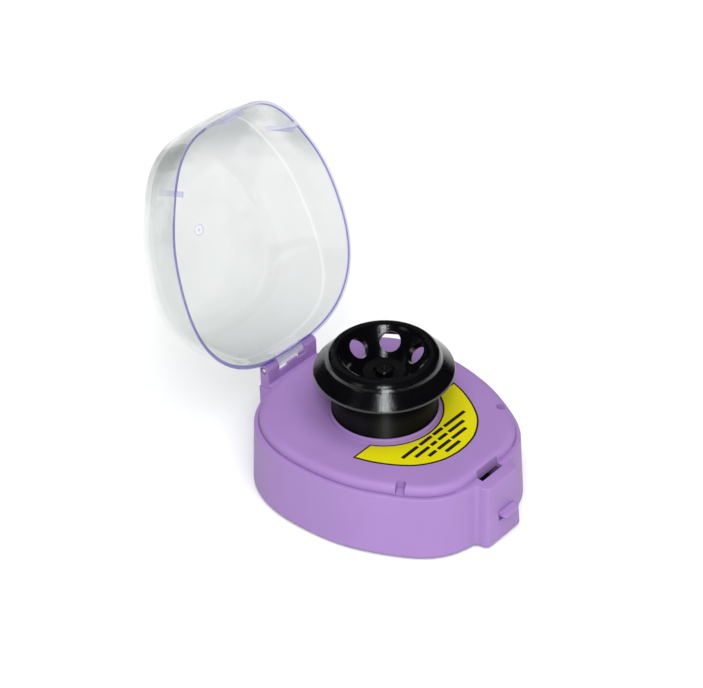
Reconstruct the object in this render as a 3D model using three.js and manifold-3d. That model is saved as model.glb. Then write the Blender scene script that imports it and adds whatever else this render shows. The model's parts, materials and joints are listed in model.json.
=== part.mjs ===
// Mini centrifuge for microtubes: moulded body with a hinged clear lid, fixed-angle rotor on a small DC motor,
// push-down lid latch, lid switch, circuit board, power inlet and rocker switch.
// Millimetres, +Z up, +Y to the hinge, -Y to the latch. Built about the rotor axis with z = 0 at the body's
// lower edge, then moved so that the origin is the bottom centre of the whole object with its lid open.
import * as THREE from "three";
import { mergeVertices } from "three/addons/utils/BufferGeometryUtils.js";
import Module from "manifold-3d";

// ---------------------------------------------------------------- driving dimensions
const FOOT_PROUD = 2.0; // feet below the body's lower edge
const SHIFT_Y = -29.64; // rotor axis to the middle of the open object (set by the open lid)

const LEDGE_Z = 37.05; // ledge that the lid's rim rests on
const PLATEAU_Z = 42.27;
const RING_Z = 45.28;
const DRAFT = 1.97; // the body's foot is this much wider than its ledge
const WALL = 2.4;
const OUTLINE = [65.974, -14.523, 5.62, 0.349, -2.279, 0.408, -0.957, -0.15]; // cosine series of the plan radius
const OUTLINE_Y = -16.84; // its centre, seen from the rotor axis
const N = 60; // facets round the plan

const RING_R = 29.55;
const WELL_R = 28.2;
const WELL_FLOOR_Z = 38.0;

const HINGE_Y = 69.8;
const HINGE_Z = 45.05;
const OPEN_DEG = 108.07;
const PIN_R = 1.3;
const BORE_R = 1.6;
const KNUCKLE_R = 2.75;
const KNUCKLE_X = 9.9;
const EAR_IN = 10.4;
const EAR_OUT = 19.4;

const RIM_GAP = 0.3; // closed rim above the ledge
const SWING_GAP = 0.35;
const LID_TOP = 50.0;
const LID_WALL = 2.4;

const TAB_X0 = -4.3;
const TAB_X1 = 6.9;
const LATCH_Y = -73.0; // latch pivot
const LATCH_Z = 21.5;
const SLOT_X = 8.2;

const HOLES = 6;
const HOLE_R = 5.6;
const HOLE_AT_R = 17.73;
const HOLE_AT_Z = 73.9;

const SHAFT_R = 1.6;

const EDGE_MERGE = 0.005; // edges shorter than this are merged

// ---------------------------------------------------------------- solids
const wasm = await Module();
wasm.setup();

function solid(geometry) {
  const g = geometry.index ? geometry.toNonIndexed() : geometry.clone();
  for (const name of Object.keys(g.attributes)) if (name !== "position") g.deleteAttribute(name);
  const m = mergeVertices(g, 1e-4);
  return new wasm.Manifold(
    new wasm.Mesh({ numProp: 3, vertProperties: new Float32Array(m.attributes.position.array), triVerts: new Uint32Array(m.index.array) }),
  );
}
function geometryOf(s) {
  const mesh = s.getMesh();
  const g = new THREE.BufferGeometry();
  const p = new Float32Array((mesh.vertProperties.length / mesh.numProp) * 3);
  for (let i = 0; i < p.length / 3; i++) for (let k = 0; k < 3; k++) p[3 * i + k] = mesh.vertProperties[mesh.numProp * i + k];
  g.setAttribute("position", new THREE.BufferAttribute(p, 3));
  g.setIndex(new THREE.BufferAttribute(new Uint32Array(mesh.triVerts), 1));
  const flat = g.toNonIndexed();
  flat.computeVertexNormals();
  return flat;
}
const add = (...s) => s.reduce((a, b) => a.add(b));
const cut = (a, ...s) => s.reduce((x, b) => x.subtract(b), a);

// box from its lowest and highest corners
function box(x0, y0, z0, x1, y1, z1) {
  const g = new THREE.BoxGeometry(x1 - x0, y1 - y0, z1 - z0);
  g.translate((x0 + x1) / 2, (y0 + y1) / 2, (z0 + z1) / 2);
  return solid(g);
}
// upright cylinder or cone
function post(x, y, z0, z1, r0, r1 = r0, n = 24) {
  const g = new THREE.CylinderGeometry(r1, r0, z1 - z0, n);
  g.rotateX(Math.PI / 2);
  g.translate(x, y, (z0 + z1) / 2);
  return solid(g);
}
// cylinder along X
function rodX(x0, x1, y, z, r, n = 20) {
  const g = new THREE.CylinderGeometry(r, r, x1 - x0, n);
  g.rotateZ(Math.PI / 2);
  g.translate((x0 + x1) / 2, y, z);
  return solid(g);
}
// cylinder along a direction from a point
function rodAlong(from, to, r, n = 24) {
  const a = new THREE.Vector3(...from), b = new THREE.Vector3(...to);
  const d = b.clone().sub(a);
  const g = new THREE.CylinderGeometry(r, r, d.length(), n);
  g.applyQuaternion(new THREE.Quaternion().setFromUnitVectors(new THREE.Vector3(0, 1, 0), d.clone().normalize()));
  g.translate((a.x + b.x) / 2, (a.y + b.y) / 2, (a.z + b.z) / 2);
  return solid(g);
}
// solid of revolution about the vertical through (x, y); profile is a closed list of [r, z]
function turned(profile, n = 48, x = 0, y = 0) {
  const area = profile.reduce((s, p, i) => { const q = profile[(i + 1) % profile.length]; return s + p[0] * q[1] - q[0] * p[1]; }, 0);
  const pts = (area > 0 ? profile : [...profile].reverse()).map(([r, z]) => new THREE.Vector2(r, z));
  pts.push(pts[0].clone());
  const g = new THREE.LatheGeometry(pts, n);
  g.rotateX(Math.PI / 2);
  g.translate(x, y, 0);
  let s = solid(g);
  if (s.volume() < 0) {
    const h = g.toNonIndexed(), a = h.attributes.position.array;
    for (let i = 0; i < a.length; i += 9) for (let k = 0; k < 3; k++) [a[i + 3 + k], a[i + 6 + k]] = [a[i + 6 + k], a[i + 3 + k]];
    s = solid(h);
  }
  return s;
}
// prism of a (y, z) polygon along X
function prismX(poly, x0, x1) {
  const shape = new THREE.Shape(poly.map(([y, z]) => new THREE.Vector2(y, z)));
  const g = new THREE.ExtrudeGeometry(shape, { depth: x1 - x0, bevelEnabled: false });
  // (y, z, x) to (x, y, z)
  const m = new THREE.Matrix4().set(0, 0, 1, x0, 1, 0, 0, 0, 0, 1, 0, 0, 0, 0, 0, 1);
  g.applyMatrix4(m);
  return solid(g);
}
// prism of an (x, y) polygon along Z
function prismZ(poly, z0, z1) {
  const shape = new THREE.Shape(poly.map(([x, y]) => new THREE.Vector2(x, y)));
  const g = new THREE.ExtrudeGeometry(shape, { depth: z1 - z0, bevelEnabled: false });
  g.translate(0, 0, z0);
  return solid(g);
}
// closed skin through rings of equal point count: each ring is a list of [x, y, z], lowest first, with its end fans
function skin(rings) {
  const n = rings[0].length, v = [], t = [];
  for (const r of rings) for (const p of r) v.push(...p);
  const mid = (r) => r.reduce((s, p) => [s[0] + p[0] / n, s[1] + p[1] / n, s[2] + p[2] / n], [0, 0, 0]);
  v.push(...mid(rings[0]), ...mid(rings[rings.length - 1]));
  const lo = rings.length * n, hi = lo + 1, last = (rings.length - 1) * n;
  for (let k = 0; k + 1 < rings.length; k++)
    for (let i = 0; i < n; i++) {
      const a = k * n + i, b = k * n + ((i + 1) % n), c = a + n, d = b + n;
      t.push(a, b, d, a, d, c);
    }
  for (let i = 0; i < n; i++) t.push(lo, (i + 1) % n, i, hi, last + i, last + ((i + 1) % n));
  const g = new THREE.BufferGeometry();
  g.setAttribute("position", new THREE.BufferAttribute(new Float32Array(v), 3));
  g.setIndex(t);
  let s = solid(g);
  if (s.volume() < 0) {
    for (let i = 0; i < t.length; i += 3) [t[i + 1], t[i + 2]] = [t[i + 2], t[i + 1]];
    g.setIndex(t);
    s = solid(g);
  }
  return s;
}

// ---------------------------------------------------------------- plan outline
// the egg-shaped plan, blunt to the hinge, with its outward normal
function planPoint(th) {
  const r = OUTLINE.reduce((s, c, k) => s + c * Math.cos(k * th), 0);
  const x = r * Math.sin(th);
  let y = OUTLINE_Y - r * Math.cos(th);
  y -= 0.9 * Math.max(0, (-y - 35) / 37) ** 2;
  return [x, y];
}
const PLAN = Array.from({ length: N }, (_, i) => {
  const th = (2 * Math.PI * i) / N - Math.PI, e = 1e-3;
  const [x, y] = planPoint(th), [x0, y0] = planPoint(th - e), [x1, y1] = planPoint(th + e);
  const L = Math.hypot(x1 - x0, y1 - y0);
  const nx = (y1 - y0) / L, ny = -(x1 - x0) / L;
  const ux = Math.sin(th), uy = -Math.cos(th);
  return { x, y, nx, ny, ux, uy, cos: nx * ux + ny * uy, front: -ny };
});
const ring = (off, z) => PLAN.map((p) => [p.x + p.nx * off, p.y + p.ny * off, z]);
const loft = (levels) => skin(levels.map(([z, off]) => ring(off, z)));
// behind the well the plateau is eased back to clear the lid's rim as it swings
const easedRing = (off, z) => PLAN.map((p) => {
  const x = p.x + p.nx * off, y = p.y + p.ny * off;
  if (p.ny < 0.2) return [x, y, z];
  const rim = Math.hypot(HINGE_Y - (p.y - p.ny * 1.65), HINGE_Z - LEDGE_Z - RIM_GAP) + SWING_GAP;
  return [x, Math.min(y, HINGE_Y - Math.sqrt(Math.max(0, rim ** 2 - (HINGE_Z - z) ** 2))), z];
});

// ---------------------------------------------------------------- upper housing
const blockTop = [[-23.5, -69.2], [-20.5, -71.0], [-17, -72.0], [-14.6, -72.6], [-13.1, -74.0], [-12.4, -76.8], [-11.5, -79.0], [-9.3, -79.85]];
const blockLow = [[-25.4, -70.6], [-22.4, -72.6], [-18.9, -73.6], [-16.5, -74.2], [-15.0, -75.6], [-14.4, -78.4], [-13.4, -80.6], [-11.2, -81.45]];
const both = (half, z, back) => [...half.map(([x, y]) => [x, y, z]), ...[...half].reverse().map(([x, y]) => [-x, y, z]), [back[0], back[1], z], [-back[0], back[1], z]];
const latchBlock = skin([both(blockLow, 0, [25.4, -60]), both(blockTop, LEDGE_Z, [23.5, -60])]);

const earShape = (() => {
  const p = [[66.4, 33.0], [66.4, 45.4]];
  for (let i = 1; i < 6; i++) { const a = Math.PI - (i * Math.PI) / 12; p.push([68.9 + 2.5 * Math.cos(a), 45.35 + 2.5 * Math.sin(a)]); }
  p.push([68.9, 47.85], [70.1, 47.85]);
  for (let i = 1; i < 6; i++) { const a = Math.PI / 2 - (i * Math.PI) / 12; p.push([70.1 + 2.5 * Math.cos(a), 45.35 + 2.5 * Math.sin(a)]); }
  p.push([72.6, 45.35], [72.6, 33.0]);
  return p;
})();

const SCREWS = [[-30, -50], [30, -50], [-25, 52], [25, 52]];
const FEET = [[-43, -26], [43, -26], [-46, 30], [46, 30]];

function notch(side) {
  // U-shaped groove in the edge of the plateau for the lid's guide rib
  const i = PLAN.map((p, k) => [Math.hypot(p.x - side * 43.2, p.y + 47.2), k]).sort((a, b) => a[0] - b[0])[0][1];
  const p = PLAN[i], q = (d) => [p.x + p.nx * d, p.y + p.ny * d];
  const a = q(-6.2), b = q(0.5), w = 2.5, tx = -p.ny, ty = p.nx;
  const slab = prismZ([[a[0] - tx * w, a[1] - ty * w], [b[0] - tx * w, b[1] - ty * w], [b[0] + tx * w, b[1] + ty * w], [a[0] + tx * w, a[1] + ty * w]].sort(() => 0), LEDGE_Z, 46);
  return add(slab.volume() < 0 ? box(0, 0, -5, 0.1, 0.1, -4.9) : slab, post(a[0], a[1], LEDGE_Z, 46, w, w, 20));
}

const inletAt = PLAN.filter((p) => p.x > 0 && p.y > 30 && p.x > 38).sort((a, b) => a.x - b.x)[0];
const rockerAt = PLAN.find((p) => p.x > 0 && p.y > 25 && p.y < 33);

function housing() {
  let body = loft([[0, DRAFT], [36.2, 0.03], [36.85, -0.25], [LEDGE_Z, -0.85]]);
  const plateau = skin([[33, -2.7], [LEDGE_Z, -2.75], [38.2, -2.86], [39.2, -2.98], [40.6, -3.4], [41.5, -4.1], [42.05, -5.1], [PLATEAU_Z, -6.5]].map(([z, off]) => easedRing(off, z)));
  const ringBoss = turned([[26, 40], [30.0, 40], [29.9, 43.4], [29.6, 44.8], [29.1, RING_Z], [28.6, RING_Z], [WELL_R, 45.0], [26, 45.0]], 48);
  const bracketLow = box(-20.2, 58, 0, 20.2, 73.2, 34.0);
  const bracketFill = box(-EAR_OUT, 58, 33.5, EAR_OUT, 67.6, LEDGE_Z);
  const lowWall = box(-EAR_IN - 0.5, 66.4, 36.5, EAR_IN + 0.5, 67.6, 41.9);
  const centreTab = box(-4.2, 66.4, 41.5, 4.2, 67.4, 43.5);
  const ears = add(prismX(earShape, EAR_IN, EAR_OUT), prismX(earShape, -EAR_OUT, -EAR_IN));
  body = add(body, plateau, ringBoss, latchBlock, bracketLow, bracketFill, lowWall, centreTab, ears);
  // the rotor well stands down into the body
  const wellCup = turned([[0, 35.6], [WELL_R + 2.2, 35.6], [WELL_R + 2.2, 41], [0, 41]], 48);
  // hollow
  const room = loft([[-1, -0.38], [34.65, -WALL]]);
  const upperRoom = loft([[30, -5.3], [38.2, -5.5], [39.9, -7.6]]);
  const blockRoom = box(-9.6, -77.3, -1, 9.6, -60.2, 34.4);
  const bracketRoom = box(-17.8, 55, -1, 17.8, 70.8, 31.6);
  body = cut(body, room, upperRoom, blockRoom, bracketRoom);
  body = add(body, wellCup);
  body = cut(body, turned([[0, WELL_FLOOR_Z], [WELL_R, WELL_FLOOR_Z], [WELL_R, 50], [0, 50]], 48));
  // screw bosses
  for (const [x, y] of SCREWS) body = add(body, post(x, y, 3.1, 41, 3.8, 3.8, 20));
  // latch pivot cheeks
  const cheeks = add(box(-10.8, -75.5, 3.1, -7.6, -70.3, 35.9), box(8.6, -75.5, 3.1, 10.8, -70.3, 35.9));
  body = add(body, cheeks);
  // openings
  const cuts = [
    box(-SLOT_X, -72.7, 30, SLOT_X, -68.3, 40), // latch slot
    box(-SLOT_X, -71.8, LEDGE_Z, SLOT_X, -68.3, 46), // recess in the plateau above it
    box(TAB_X0 - 0.4, -84, 12.1, TAB_X1 + 0.4, -76.4, 18.45), // window of the release tab
    rodX(-10.4, 10.4, LATCH_Y, LATCH_Z, 1.3), // latch pivot
    rodX(-EAR_OUT - 1, EAR_OUT + 1, HINGE_Y, HINGE_Z, BORE_R),
    rodX(-EAR_OUT - 1, -EAR_OUT + 1.3, HINGE_Y, HINGE_Z, 2.05),
    rodX(EAR_OUT - 1.3, EAR_OUT + 1, HINGE_Y, HINGE_Z, 2.05),
    post(0, 0, 34, 40, 6.0), // motor nose
    post(-8, 0, 34, 40, 1.5, 1.5, 16),
    post(8, 0, 34, 40, 1.5, 1.5, 16),
    notch(-1),
    notch(1),
    ...SCREWS.map(([x, y]) => post(x, y, 2, 16, 1.35, 1.35, 16)),
  ];
  body = cut(body, ...cuts);
  return body;
}

// frame of a fitting on the side wall: x along the wall, y outward, z up
function wallFrame(p, z) {
  const off = DRAFT * (1 - z / LEDGE_Z);
  const g = new THREE.Matrix4();
  g.makeBasis(new THREE.Vector3(p.ny, -p.nx, 0), new THREE.Vector3(p.nx, p.ny, 0), new THREE.Vector3(0, 0, 1));
  g.setPosition(p.x + p.nx * off, p.y + p.ny * off, z);
  return g;
}
function place(s, m) {
  const g = geometryOf(s);
  g.applyMatrix4(m);
  return solid(g);
}
const INLET = wallFrame(inletAt, 13);
const ROCKER = wallFrame(rockerAt, 17);
const alongY = (y0, y1, r, n = 24) => rodAlong([0, y0, 0], [0, y1, 0], r, n);

// ---------------------------------------------------------------- lid (drawn closed)
function lidRing(k, s, inner) {
  // k: 0..1 up the wall, s: 0..1 over the shoulder
  return PLAN.map((p) => {
    const C = p.front;
    let h1 = Math.max(5, 23.83 + 8.6 * C - 7.4 * C * C), t1 = 3.8 + 2.65 * C, a = 16.95 + 7.0 * C, top = LID_TOP;
    let h, t;
    if (s <= 0) { h = h1 * k; t = t1 * k; }
    else { const g = (s * Math.PI) / 2; h = h1 + (top - h1) * Math.sin(g) ** 1.667; t = t1 + a * (1 - Math.cos(g) ** 1.667); }
    if (inner) { h *= (top - LID_WALL) / top; t += LID_WALL; }
    const d = t / Math.max(0.8, p.cos);
    return [p.x - p.ux * d, p.y - p.uy * d, LEDGE_Z + RIM_GAP + h];
  });
}
const crown = (inner) => {
  const out = [];
  for (const k of [0, 0.5]) out.push(lidRing(k, 0, inner));
  for (const s of [0.0001, 0.18, 0.36, 0.54, 0.74, 1]) out.push(lidRing(1, s, inner));
  return out;
};
function lidSolid() {
  const outerRings = crown(false), innerRings = crown(true);
  const outer = skin(outerRings);
  // the hollow runs down through the rim, with its lower edge eased
  const e = 0.75, z0 = LEDGE_Z + RIM_GAP;
  const ease = PLAN.map((p) => [p.x - p.nx * (LID_WALL - e), p.y - p.ny * (LID_WALL - e), z0 - 1]);
  const ease1 = PLAN.map((p) => [p.x - p.nx * (LID_WALL - e), p.y - p.ny * (LID_WALL - e), z0]);
  const ease2 = PLAN.map((p) => [p.x - p.nx * (LID_WALL + 0.12), p.y - p.ny * (LID_WALL + 0.12), z0 + 1.5]);
  const inner = skin([ease, ease1, ease2, ...innerRings.slice(1)]);
  let lid = cut(outer, inner);
  // guide ribs on the two front shoulders
  for (const side of [-1, 1]) {
    const i = PLAN.map((p, k) => [Math.hypot(p.x - side * 43.2, p.y + 47.2), k]).sort((a, b) => a[0] - b[0])[0][1];
    const p = PLAN[i], q = (d) => [p.x + p.nx * d, p.y + p.ny * d];
    const a = q(-6.4), b = q(-0.8), w = 1.5, tx = -p.ny, ty = p.nx;
    let poly = [[a[0] - tx * w, a[1] - ty * w], [b[0] - tx * w, b[1] - ty * w], [b[0] + tx * w, b[1] + ty * w], [a[0] + tx * w, a[1] + ty * w]];
    const rib = prismZ(poly, z0 + 0.02, z0 + 24).intersect(outer);
    lid = add(lid, rib);
  }
  // latch hook below the front of the rim
  const hook = prismX([[-70.0, 39.5], [-71.15, 39.5], [-71.15, 33.0], [-72.3, 32.8], [-72.3, 32.0], [-71.3, 30.6], [-70.0, 30.6]], -7.4, 7.4);
  lid = add(lid, hook);
  // hinge knuckle: a plate from the wall, tangent under the barrel
  const plate = cut(box(-KNUCKLE_X, 63.6, HINGE_Z - KNUCKLE_R + 0.05, KNUCKLE_X, HINGE_Y, 45.2), box(-4.8, 65.2, 40, 4.8, 70.5, 44.0));
  const arm = cut(add(rodX(-KNUCKLE_X, KNUCKLE_X, HINGE_Y, HINGE_Z, KNUCKLE_R, 28), plate), inner);
  lid = add(lid, arm);
  lid = cut(lid, rodX(-KNUCKLE_X - 1, KNUCKLE_X + 1, HINGE_Y, HINGE_Z, BORE_R, 20));
  // moulding gate at the crown
  lid = add(lid, post(0, -2, z0 + LID_TOP - 1.5, z0 + LID_TOP + 0.7, 3.2, 2.7, 20));
  return lid;
}

// ---------------------------------------------------------------- rotor
function rotorShell() {
  let s = turned([
    [SHAFT_R + 0.15, 49.0], [7.0, 49.0], [7.0, 62.6], [12.6, 64.4], [14.0, 66.0], [25.2, 76.9], [27.4, 77.4], [28.6, 75.6], [33.0, 69.8], [33.7, 66.9], [34.2, 66.5], [34.8, 66.6],
    [36.7, 68.1], [37.4, 68.8], [37.3, 69.6], [36.96, 70.06], [30.55, 76.1], [29.75, 78.2], [28.9, 79.5], [27.6, 80.5], [26.0, 80.95], [24.6, 80.9], [23.6, 80.3], [22.9, 79.2],
    [11.34, 67.85], [5.92, 67.85], [5.92, 66.6], [SHAFT_R + 0.15, 66.6],
  ], 48);
  for (let i = 0; i < HOLES; i++) {
    const a = Math.PI / 2 + (i * 2 * Math.PI) / HOLES, c = Math.cos(a), d = Math.sin(a);
    const p = (t) => [c * (HOLE_AT_R + t * Math.SQRT1_2), d * (HOLE_AT_R + t * Math.SQRT1_2), HOLE_AT_Z - t * Math.SQRT1_2];
    s = cut(s, rodAlong(p(-7), p(7), HOLE_R, 20));
  }
  return s;
}
const rotorSkirt = () => turned([
  [7.3, 58.6], [7.3, 61.6], [13.5, 61.6], [19.5, 60.6], [23.6, 58.2], [26.2, 55.9], [27.1, 54.2], [27.75, 46.0], [27.75, 40.6], [25.9, 40.6], [25.5, 53.0], [22.4, 56.0], [18.8, 58.0], [13.4, 58.6],
], 40);
const rotorCap = () => cut(turned([[0, 66.9], [4.7, 66.9], [4.7, 69.3], [4.3, 69.85], [0, 69.85]], 32), post(0, 0, 68.9, 71, 0.7, 1.2, 16));

// ---------------------------------------------------------------- pieces
const purple = { color: 0xac8bcf, roughness: 0.42, metalness: 0 };
const black = { color: 0x0d0e10, roughness: 0.25, metalness: 0 };
const rubber = { color: 0x222226, roughness: 0.85, metalness: 0 };
const steel = { color: 0xb9bcc0, roughness: 0.3, metalness: 1 };
const zinc = { color: 0x9a9da1, roughness: 0.45, metalness: 1 };
const clear = { color: 0xeef0f4, roughness: 0.08, metalness: 0, transparent: true, opacity: 0.35 };

const assembly = new THREE.Group();
assembly.position.set(0, SHIFT_Y, FOOT_PROUD);
function piece(name, s, look, parent = assembly) {
  const m = new THREE.Mesh(geometryOf(s.simplify(EDGE_MERGE)), new THREE.MeshStandardMaterial(look));
  m.name = name;
  parent.add(m);
  return m;
}

let shellBody = housing();
shellBody = cut(shellBody, place(add(alongY(-6, 3, 5.3), alongY(0.05, 4, 6.9)), INLET), place(add(box(-6.6, -6, -9.6, 6.6, 3, 9.6), box(-7.9, 0.05, -10.9, 7.9, 4, 10.9)), ROCKER));
piece("base_housing", shellBody, purple);

// bottom cover, with its tongues under the latch block and the hinge bracket
let cover = add(loft([[0.3, -0.85], [2.7, -0.98]]), box(-9.2, -77.0, 0.3, 9.2, -60, 2.7), box(-17.4, 55, 0.3, 17.4, 70.4, 2.7));
for (const [x, y] of SCREWS) cover = cut(cover, post(x, y, -1, 4, 1.6, 1.6, 16), post(x, y, -1, 1.5, 3.3, 3.3, 20));
for (const [x, y] of FEET) cover = cut(cover, post(x, y, -1, 4, 2.3, 2.3, 16));
for (const x of [-15, -9, -3, 3, 9, 15]) cover = cut(cover, box(x - 1, -9, -1, x + 1, 9, 4));
cover = add(cover, post(-18, 30, 2.4, 5.0, 2.6, 2.6, 16), post(18, 30, 2.4, 5.0, 2.6, 2.6, 16));
cover = cut(cover, post(-18, 30, 1.0, 6, 0.9, 0.9, 12), post(18, 30, 1.0, 6, 0.9, 0.9, 12));
cover = add(cover, post(1.3, -74.9, 2.4, 4.6, 1.2, 1.2, 12)); // spigot of the latch spring
piece("bottom_cover", cover, { ...purple, color: 0x9d7cc0 });

const corner = (x, y) => (y < 0 ? "front" : "rear") + (x < 0 ? "_left" : "_right");
for (const [x, y] of FEET)
  piece("foot_" + corner(x, y), turned([[0, -2.0], [5.4, -2.0], [6.0, -1.4], [6.2, 0.0], [2.0, 0.0], [2.0, 2.98], [2.9, 3.1], [2.2, 5.2], [0, 5.2]], 18, x, y), rubber);
for (const [x, y] of SCREWS)
  piece("cover_screw_" + corner(x, y), turned([[0, 0.35], [2.7, 0.35], [2.7, 1.2], [1.15, 1.2], [1.05, 11.5], [0, 12.5]], 20, x, y), zinc);

// label: chord towards the rotor, inner arc round the ring, bowed outer edge
const labelPoly = (() => {
  const half = [[41.1, -13.5], [38.7, -21.3], [35.2, -29.0], [30.6, -36.6], [25.6, -42.7], [19.3, -47.5], [12.0, -51.0], [4.0, -52.6]];
  const p = [...half, ...[...half].reverse().map(([x, y]) => [-x, y])];
  const R = 30.6, a0 = Math.PI + Math.asin(13.5 / R), a1 = 2 * Math.PI - Math.asin(13.5 / R);
  for (let i = 0; i <= 20; i++) { const a = a0 + ((a1 - a0) * i) / 20; p.push([R * Math.cos(a), R * Math.sin(a)]); }
  return p;
})();
piece("label_plate", prismZ(labelPoly, PLATEAU_Z + 0.05, PLATEAU_Z + 0.3), { color: 0xe4dc00, roughness: 0.5, metalness: 0 });

// lid, turned open about the hinge
const lidPivot = new THREE.Group();
lidPivot.position.set(0, HINGE_Y, HINGE_Z);
lidPivot.rotation.x = -THREE.MathUtils.degToRad(OPEN_DEG);
assembly.add(lidPivot);
const lidMesh = piece("lid", lidSolid(), clear, lidPivot);
lidMesh.position.set(0, -HINGE_Y, -HINGE_Z);
piece("hinge_pin", rodX(-19.0, 19.0, HINGE_Y, HINGE_Z, PIN_R, 20), steel);

// latch lever: tab through the front window, pivot, and a catch behind the slot
let lever = prismX([
  [-85.3, 15.7], [-85.6, 16.2], [-85.6, 17.5], [-85.2, 18.0], [-77.4, 18.0], [-76.6, 19.4], [-75.6, 22.0], [-75.3, 24.5], [-75.3, 33.6], [-74.6, 34.4], [-73.4, 34.4],
  [-71.9, 33.9], [-71.7, 33.35], [-73.7, 33.3], [-73.9, 24.2], [-71.6, 23.8], [-70.6, 22.6], [-70.4, 21.2], [-71.0, 19.6], [-72.6, 17.2], [-72.6, 15.7],
], TAB_X0, TAB_X1);
lever = cut(lever, rodX(TAB_X0 - 1, TAB_X1 + 1, LATCH_Y, LATCH_Z, 1.3));
for (const sx of [0, 1]) {
  const x = sx ? TAB_X1 : TAB_X0, s = sx ? 1 : -1; // rounded front corners of the tab
  const corner_ = prismZ([[x + s, -86.5], [x - s * 2.2, -86.5], [x - s * 2.2, -85.61], [x - s * 1.2, -85.3], [x - s * 0.35, -84.5], [x - s * 0.0, -83.4], [x + s, -83.4]], 14, 19);
  lever = cut(lever, corner_.volume() > 0 ? corner_ : box(0, 0, -9, 1, 1, -8));
}
piece("latch_lever", lever, purple);
piece("latch_pivot_pin", rodX(-10.1, 10.1, LATCH_Y, LATCH_Z, 1.0, 16), steel);

// coil spring under the latch lever
class Coil extends THREE.Curve {
  constructor(x, y, z0, z1, r, turns) { super(); Object.assign(this, { x, y, z0, z1, r, turns }); }
  getPoint(t) { const a = 2 * Math.PI * this.turns * t; return new THREE.Vector3(this.x + this.r * Math.cos(a), this.y + this.r * Math.sin(a), this.z0 + (this.z1 - this.z0) * t); }
}
const wire = new THREE.Shape(Array.from({ length: 5 }, (_, i) => new THREE.Vector2(0.32 * Math.cos((i * Math.PI) / 2.5), 0.32 * Math.sin((i * Math.PI) / 2.5))));
const coil = new THREE.ExtrudeGeometry(wire, { steps: 63, extrudePath: new Coil(1.3, -74.9, 3.35, 15.0, 1.75, 7), bevelEnabled: false });
piece("latch_spring", solid(coil), steel);

// lid switch: body on the plateau's underside, leaf under the hook, plunger between
let switchBody = cut(box(-6.4, -68.0, 19.0, 6.4, -60.4, 28.6), post(0, -66.2, 26.0, 30, 1.15, 1.15, 16), box(-6.6, -69, 19.9, -4.2, -59, 20.7), box(4.2, -69, 19.9, 6.6, -59, 20.7));
switchBody = add(switchBody, box(-6.4, -61.0, 28.0, 6.4, -59.4, 34.3));
piece("switch_body", switchBody, { color: 0x17181a, roughness: 0.5, metalness: 0 });
piece("switch_leaf", prismX([[-71.3, 29.75], [-71.3, 30.1], [-61.9, 30.4], [-61.35, 30.0], [-61.9, 29.6]], -2.2, 2.2), steel);
piece("switch_plunger", turned([[0, 26.5], [0.7, 26.5], [0.7, 29.0], [0.45, 29.35], [0, 29.35]], 16, 0, -66.2), { color: 0xe8e4d8, roughness: 0.4, metalness: 0 });

// motor
const canTop = 33.0;
piece("motor_can", cut(turned([[3.9, 33.0], [3.9, 31.6], [12.7, 31.6], [12.7, 8.0], [13.9, 8.0], [13.9, 33.0]], 32), post(-8, 0, 30, 36, 1.25, 1.25, 12), post(8, 0, 30, 36, 1.25, 1.25, 12)), steel);
piece("motor_end_cap", cut(turned([[0, 5.6], [12.4, 5.6], [13.9, 6.2], [13.9, 7.7], [12.4, 7.7], [12.4, 9.6], [11.2, 9.6], [11.2, 7.7], [4.2, 7.7], [4.2, 9.4], [2.0, 9.4], [2.0, 7.6], [0, 7.6]], 28), box(-9.5, -1.4, 4, -7.5, 1.4, 12), box(7.5, -1.4, 4, 9.5, 1.4, 12)), black);
piece("motor_terminal_left", box(-8.8, -1.1, 2.98, -8.2, 1.1, 9.0), { color: 0xc9a45a, roughness: 0.35, metalness: 1 });
piece("motor_terminal_right", box(8.2, -1.1, 2.98, 8.8, 1.1, 9.0), { color: 0xc9a45a, roughness: 0.35, metalness: 1 });
piece("motor_bushing", turned([[SHAFT_R + 0.12, 31.0], [3.6, 31.0], [3.6, 34.8], [SHAFT_R + 0.12, 34.8]], 24), { color: 0xb08d4a, roughness: 0.4, metalness: 1 });
piece("motor_magnet", turned([[10.9, 12.0], [12.4, 12.0], [12.4, 28.0], [10.9, 28.0]], 28), { color: 0x2b2c2e, roughness: 0.7, metalness: 0 });
let stack = turned([[SHAFT_R + 0.1, 13.0], [10.3, 13.0], [10.3, 27.0], [SHAFT_R + 0.1, 27.0]], 28);
for (let i = 0; i < 3; i++) { const a = (i * 2 * Math.PI) / 3; const b = box(3.6, -1.2, 12, 12, 1.2, 28); const g = geometryOf(b); g.rotateZ(a); stack = cut(stack, solid(g)); }
piece("motor_armature", stack, { color: 0x6d6f73, roughness: 0.5, metalness: 1 });
piece("motor_shaft", turned([[0, 8.0], [SHAFT_R, 8.0], [SHAFT_R, 66.0], [1.2, 66.4], [0, 66.4]], 24), steel);
piece("motor_isolator", cut(turned([[5.6, 33.3], [14.2, 33.3], [14.2, 35.3], [5.6, 35.3]], 28), post(-8, 0, 30, 36, 1.5, 1.5, 12), post(8, 0, 30, 36, 1.5, 1.5, 12)), rubber);
for (const [name, x] of [["motor_screw_left", -8], ["motor_screw_right", 8]])
  piece(name, turned([[0, 30.4], [1.0, 30.4], [1.0, 38.3], [2.4, 38.3], [2.4, 39.4], [1.9, 39.9], [0, 39.9]], 20, x, 0), zinc);

// rotor
piece("rotor", rotorShell(), black);
piece("rotor_skirt", rotorSkirt(), black);
piece("rotor_lock_cap", rotorCap(), black);

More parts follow.
